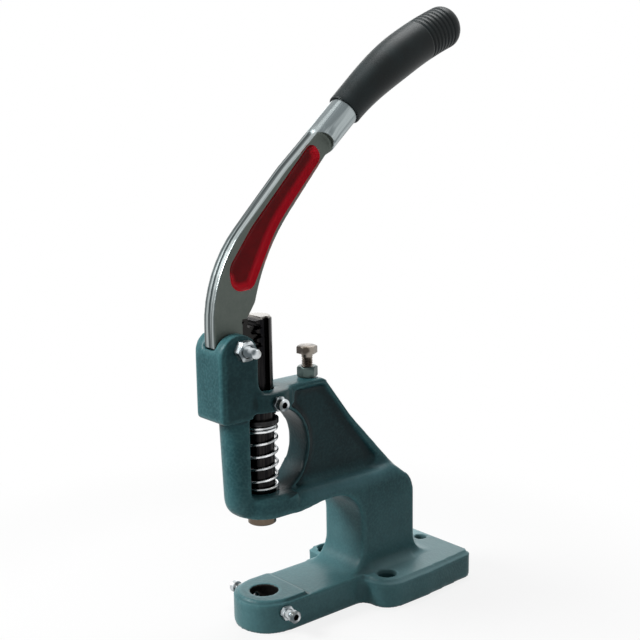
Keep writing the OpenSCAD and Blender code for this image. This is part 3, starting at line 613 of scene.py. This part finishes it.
def bar_point(s):
    """Point of the bar's axis from the pivot, and its slope, at length s from the grip's start."""
    turn = max(0.0, s) / GRIP_BEND
    if s <= 0:
        return BAR_START + s * np.array([math.cos(BAR_SLOPE), math.sin(BAR_SLOPE)]), BAR_SLOPE
    slope = BAR_SLOPE - turn
    bend = np.array([math.sin(BAR_SLOPE) - math.sin(slope), math.cos(slope) - math.cos(BAR_SLOPE)])
    return BAR_START + GRIP_BEND * bend, slope


# The recess's outline from the pivot, whose first four corners make its lower edge
RECESS = rounded([[0.5, 36.5, 9], [18.2, 37.5, 8], [39.4, 77.5, 110], [80.5, 122, 6.5],
                  [71.5, 134, 6], [18, 79.5, 100], [-1.5, 54, 12]])


def hand_lever():
    mesh, p, edges = skin("lever", 0.62 * MM)
    flat = p[:, 1:] - PIVOT
    gap, _, _ = line_distance(flat, RECESS)
    within = inside(flat, RECESS)
    signed = np.where(within, -gap, gap)
    share = np.full(len(p), 0.5)
    wheel = np.hypot(*flat.T)
    teeth = (wheel < 24) & (flat[:, 0] > 8) & (flat[:, 1] < 18)
    share[teeth] = 0.15
    share[(wheel < 6)] = 0
    p = soften(p, edges, share, 7)
    scoop = (signed < 0.4) & (np.abs(p[:, 0]) < BLADE_SIDE)
    deep = RECESS_DEPTH * (1 - (1 - np.clip(-signed / 4.6, 0, 1)) ** 2)
    p[scoop, 0] = np.sign(p[scoop, 0]) * (BLADE_SIDE - deep[scoop])
    p = soften(p, edges, np.where(scoop, 0.5, 0), 6)
    front = rounded([[-15.2, -20, 0], [-15.2, 51.8, 90], [48.5, 115.3, 150], [78, 140.6, 0]], 16)
    for at, slope in map(bar_point, (-20, 0, 30, 60, 90, 110)):
        front = np.vstack([front, at + 11 * np.array([-math.sin(slope), math.cos(slope)])])
    across, along, _ = line_distance(flat, front, closed=False)
    carry(mesh, "grain", np.stack([across, p[:, 0], along], 1) * MM, "FLOAT_VECTOR")
    carry(mesh, "recess", (signed < 1.1).astype(float))
    carry(mesh, "tooth", teeth.astype(float))
    # The recess's lower wall carries a painted highlight, fading over 7 mm.
    lower_edge, _, _ = line_distance(flat, RECESS[:40], closed=False)
    carry(mesh, "wall", np.clip(1 - lower_edge / 7, 0, 1))
    shoulder = flat - bar_point(-39)[0]
    onward = shoulder @ np.array([math.cos(BAR_SLOPE), math.sin(BAR_SLOPE)])
    carry(mesh, "round", ((np.hypot(*shoulder.T) > 12) & (onward > 1)).astype(float))
    mesh.vertices.foreach_set("co", (p * MM).ravel())
    mesh.update()
    return piece("lever_forging", mesh, LEVER, "hand_lever", ["lever"], sharp=None)


def handle_grip():
    """Rubber sleeve with grooves round its closed end."""
    neck, thick, hole, hole_len = 12.5, 15.7, 11.15, 103.4
    grooves, groove_pitch, groove_w, groove_depth = 7, 3.8, 1.9, 0.8

    def radius(s):
        swell = (1 - math.cos(min(math.pi, math.pi * s / (GRIP_LEN * 0.55)))) / 2
        return neck + (thick - neck) * swell

    rows = [(hole_len * (1 - i / 24), hole) for i in range(24)] + [(0.35, hole), (0.05, 11.4)]
    rows += [(0.0, 11.75), (0.12, 12.15), (0.45, 12.42)]
    first = GRIP_LEN - 11 - grooves * groove_pitch
    rows += [(s, radius(s)) for s in np.linspace(1.0, first - 1.2, 44)]
    for g in range(grooves):
        for t in np.linspace(0, groove_pitch, 15)[:-1]:
            dip = groove_depth * max(0.0, math.sin(math.pi * t / groove_w)) ** 0.7 if t < groove_w else 0.0
            rows.append((first + g * groove_pitch + t, thick - dip))
    dome = 2 * thick * 0.36
    for a in np.linspace(0.12, math.pi / 2, 22):
        rows.append((GRIP_LEN - dome + dome * math.sin(a), thick * max(0.02, math.cos(a))))
    rings = []
    for s, r in rows:
        at, slope = bar_point(s)
        at = at + PIVOT
        rings.append([(r * math.sin(a) * MM, (at[0] - r * math.cos(a) * math.sin(slope)) * MM,
                       (at[1] + r * math.cos(a) * math.cos(slope)) * MM) for a in ROUND])
    mesh = rings_mesh("grip_sleeve", rings)
    return piece("grip_sleeve", mesh, RUBBER, "hand_lever", ["lever_grip"], sharp=60)


def spring():
    """Compression spring with closed ends, wound round the plunger."""
    wire_r, coil_r, gap = 1.0, 11.65, 0.2
    closed, opened, close_pitch, steps = 1.25, 4.5, 2.5, 48
    z0, z1 = SPRING_FOOT + gap + wire_r, SPRING_FOOT + SPRING_H - gap - wire_r
    pitch = (z1 - z0 - 2 * closed * close_pitch) / opened
    turns = opened + 2 * closed
    rings = []
    for i in range(int(turns * steps) + 1):
        t = i / steps
        z = z0 + close_pitch * (min(t, closed) + max(0, t - closed - opened))
        z += pitch * max(0, min(t - closed, opened))
        a = 2 * math.pi * t + math.radians(40)
        wire = wire_r * min(1.0, 0.72 + 0.28 * min(i, turns * steps - i) / 3)
        ring = []
        for b in np.linspace(0, 2 * math.pi, 20, endpoint=False):
            r = coil_r + wire * math.cos(b)
            ring.append((r * math.cos(a) * MM, r * math.sin(a) * MM, (z + wire * math.sin(b)) * MM))
        rings.append(ring)
    mesh = rings_mesh("wound_spring", rings)
    made = piece("wound_spring", mesh, SPRING_ZINC, "frame", ["return_spring"], sharp=50)
    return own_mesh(made)


def fitted(node, name, made_by, measures, finish=None, body="frame"):
    """One bolt, screw or nut in place of its solid."""
    piece(name, made_by(name, *measures), finish or ZINC, body, [node])


def hardware():
    """Bolts, screws and nuts, each where its solid is. Measures are as in bolt, nut and cap_screw."""
    m8, m8_nut, m6_nut = (4, 1.25), (13, 4.04), (9.4, 3.04)
    cap = (3, 4.3, 4, 4)
    pivot_far, pivot_near = (axis_frame((x, *PIVOT), (1, 0, 0)) for x in (-CHEEK_X, CHEEK_X))
    fitted("pivot_bolt", "pivot_bolt_threaded", bolt, (pivot_far, 5.3, 13, 49, *m8, 34, (39.6, 3.35)))
    fitted("pivot_nut", "pivot_nut_turned", nut, (pivot_near, 6.5, *m8_nut))
    down, up = axis_frame((0, STOP_Y, 189.7), (0, 0, -1)), axis_frame((0, STOP_Y, 172.5), (0, 0, 1))
    fitted("stop_bolt", "stop_bolt_threaded", bolt, (down, 5.3, 13, 40.2, *m8, 2.2),
           OLD_ZINC, "lower_stop")
    fitted("stop_lock_nut", "stop_nut_turned", nut, (up, 7.8, *m8_nut), DARK_NUT, "frame")
    guide_tip, guide_nut = (axis_frame((x, 0, GUIDE_Z), (1, 0, 0)) for x in (7.3, 21.4))
    fitted("guide_screw", "guide_screw_threaded", cap_screw, (guide_tip, 2.46, 3.5, 17.3, *cap))
    fitted("guide_lock_nut", "guide_nut_turned", nut, (guide_nut, 3, *m6_nut))
    for side, word in ((1, "near"), (-1, "far")):
        tip, seat = (axis_frame((side * x, 0, CLAMP_Z), (side, 0, 0)) for x in (10.9, 24.4))
        fitted(f"die_clamp_screw_{word}", f"clamp_screw_{word}_threaded", cap_screw,
               (tip, 2, 1.5, 21.3, *cap), body=f"clamp_{word}")
        fitted(f"die_clamp_nut_{word}", f"clamp_nut_{word}_turned", nut, (seat, 3.6, *m6_nut))


def carried_over():
    """Solids that keep their own mesh."""
    for name, finish, edge in (("plunger", PLUNGER, 0), ("spring_collar", DULL_ZINC, 0.35),
                               ("collar_pin", DULL_ZINC, 0.3)):
        kept = nodes[name]
        kept.data.materials.clear()
        kept.data.materials.append(finish.holder)
        if edge:
            weld = kept.modifiers.new("joined", "WELD")
            weld.merge_threshold = 1e-6
            bevel = kept.modifiers.new("broken_edges", "BEVEL")
            bevel.width, bevel.segments = edge * MM, 2
            bevel.limit_method, bevel.angle_limit = "ANGLE", math.radians(50)


casting()
hand_lever()
handle_grip()
spring()
hardware()
carried_over()


# ---- the stage ----

def pale_floor():
    """White to the eye away from the press. Near it the floor keeps some shading, and so the shadow."""
    f = Finish("pale_floor")
    distance = (f.x * f.x + f.y * f.y).math("SQRT")
    away = distance.rise(0.14, 0.40)
    near, far = (f.node("ShaderNodeBsdfDiffuse", {}, {"Color": (grey, grey, grey)}) for grey in (0.66, 0.22))
    plain = f.node("ShaderNodeMixShader", {}, [distance.rise(0.18, 0.42), near, far])
    bright = f.node("ShaderNodeEmission", {}, {"Color": (1, 1, 1), "Strength": 1.0})
    share = f.shown_white() * (0.84 + away * 0.16)
    shown = f.node("ShaderNodeMixShader", {}, [share, plain, bright])
    f.node("ShaderNodeOutputMaterial", {}, [shown])
    return f


def stage():
    half, under = 6, -0.0002
    corners = [(x * half, y * half, under) for x, y in ((-1, -1), (1, -1), (1, 1), (-1, 1))]
    mesh = bpy.data.meshes.new("floor")
    mesh.from_pydata(corners, [], [(0, 1, 2, 3)])
    floor = bpy.data.objects.new("floor", mesh)
    bpy.context.scene.collection.objects.link(floor)
    mesh.materials.append(pale_floor().holder)


def lamp(name, at, to, size, power, tall=None):
    light = bpy.data.lights.new(name, "AREA")
    light.shape, light.size, light.energy = "DISK", size, power
    if tall:
        light.shape, light.size_y = "RECTANGLE", tall
    made = bpy.data.objects.new(name, light)
    made.location = at
    made.visible_camera = False
    made.rotation_mode = "QUATERNION"
    made.rotation_quaternion = (Vector(to) - Vector(at)).to_track_quat("-Z", "Y")
    bpy.context.scene.collection.objects.link(made)


def studio():
    bpy.context.scene.world = bpy.data.worlds.new("studio")
    n = Nodes(bpy.context.scene.world)
    soft = n.node("ShaderNodeBackground", {}, {"Color": (1, 1, 1), "Strength": 0.13})
    white = n.node("ShaderNodeBackground", {}, {"Color": (1, 1, 1), "Strength": 1.0})
    n.node("ShaderNodeOutputWorld", {}, [n.node("ShaderNodeMixShader", {}, [n.shown_white(), soft, white])])
    lamp("key", (-0.75, -1.15, 1.15), (0, 0.03, 0.18), 0.7, 36)
    lamp("back", (-1.35, 1.15, 0.55), (0, 0.05, 0.08), 1.5, 5.5, tall=0.8)
    lamp("above", (-0.25, 0.5, 1.6), (0, 0.05, 0.1), 0.9, 15)
    lamp("strip", (1.5, -0.05, 0.35), (0, 0, 0.2), 0.1, 0.9, tall=0.9)


def camera():
    turn, tilt, roll = math.radians(49.8), math.radians(11.6), math.radians(-0.89)
    right = Vector((math.cos(turn), math.sin(turn), 0))
    ahead = Vector((-math.sin(turn) * math.cos(tilt), math.cos(turn) * math.cos(tilt), -math.sin(tilt)))
    up = right.cross(ahead)
    across = right * math.cos(roll) + up * math.sin(roll)
    above = up * math.cos(roll) - right * math.sin(roll)
    data = bpy.data.cameras.new("camera")
    data.lens, data.sensor_width = 67.5, 36
    data.clip_start, data.clip_end = 0.02, 30
    made = bpy.data.objects.new("camera", data)
    place = Matrix.Translation((0.63822, -0.48328, 0.38293))
    made.matrix_world = place @ Matrix((across, above, -ahead)).transposed().to_4x4()
    bpy.context.scene.collection.objects.link(made)
    bpy.context.scene.camera = made


stage()
studio()
camera()
bpy.context.scene.view_settings.view_transform = "Standard"
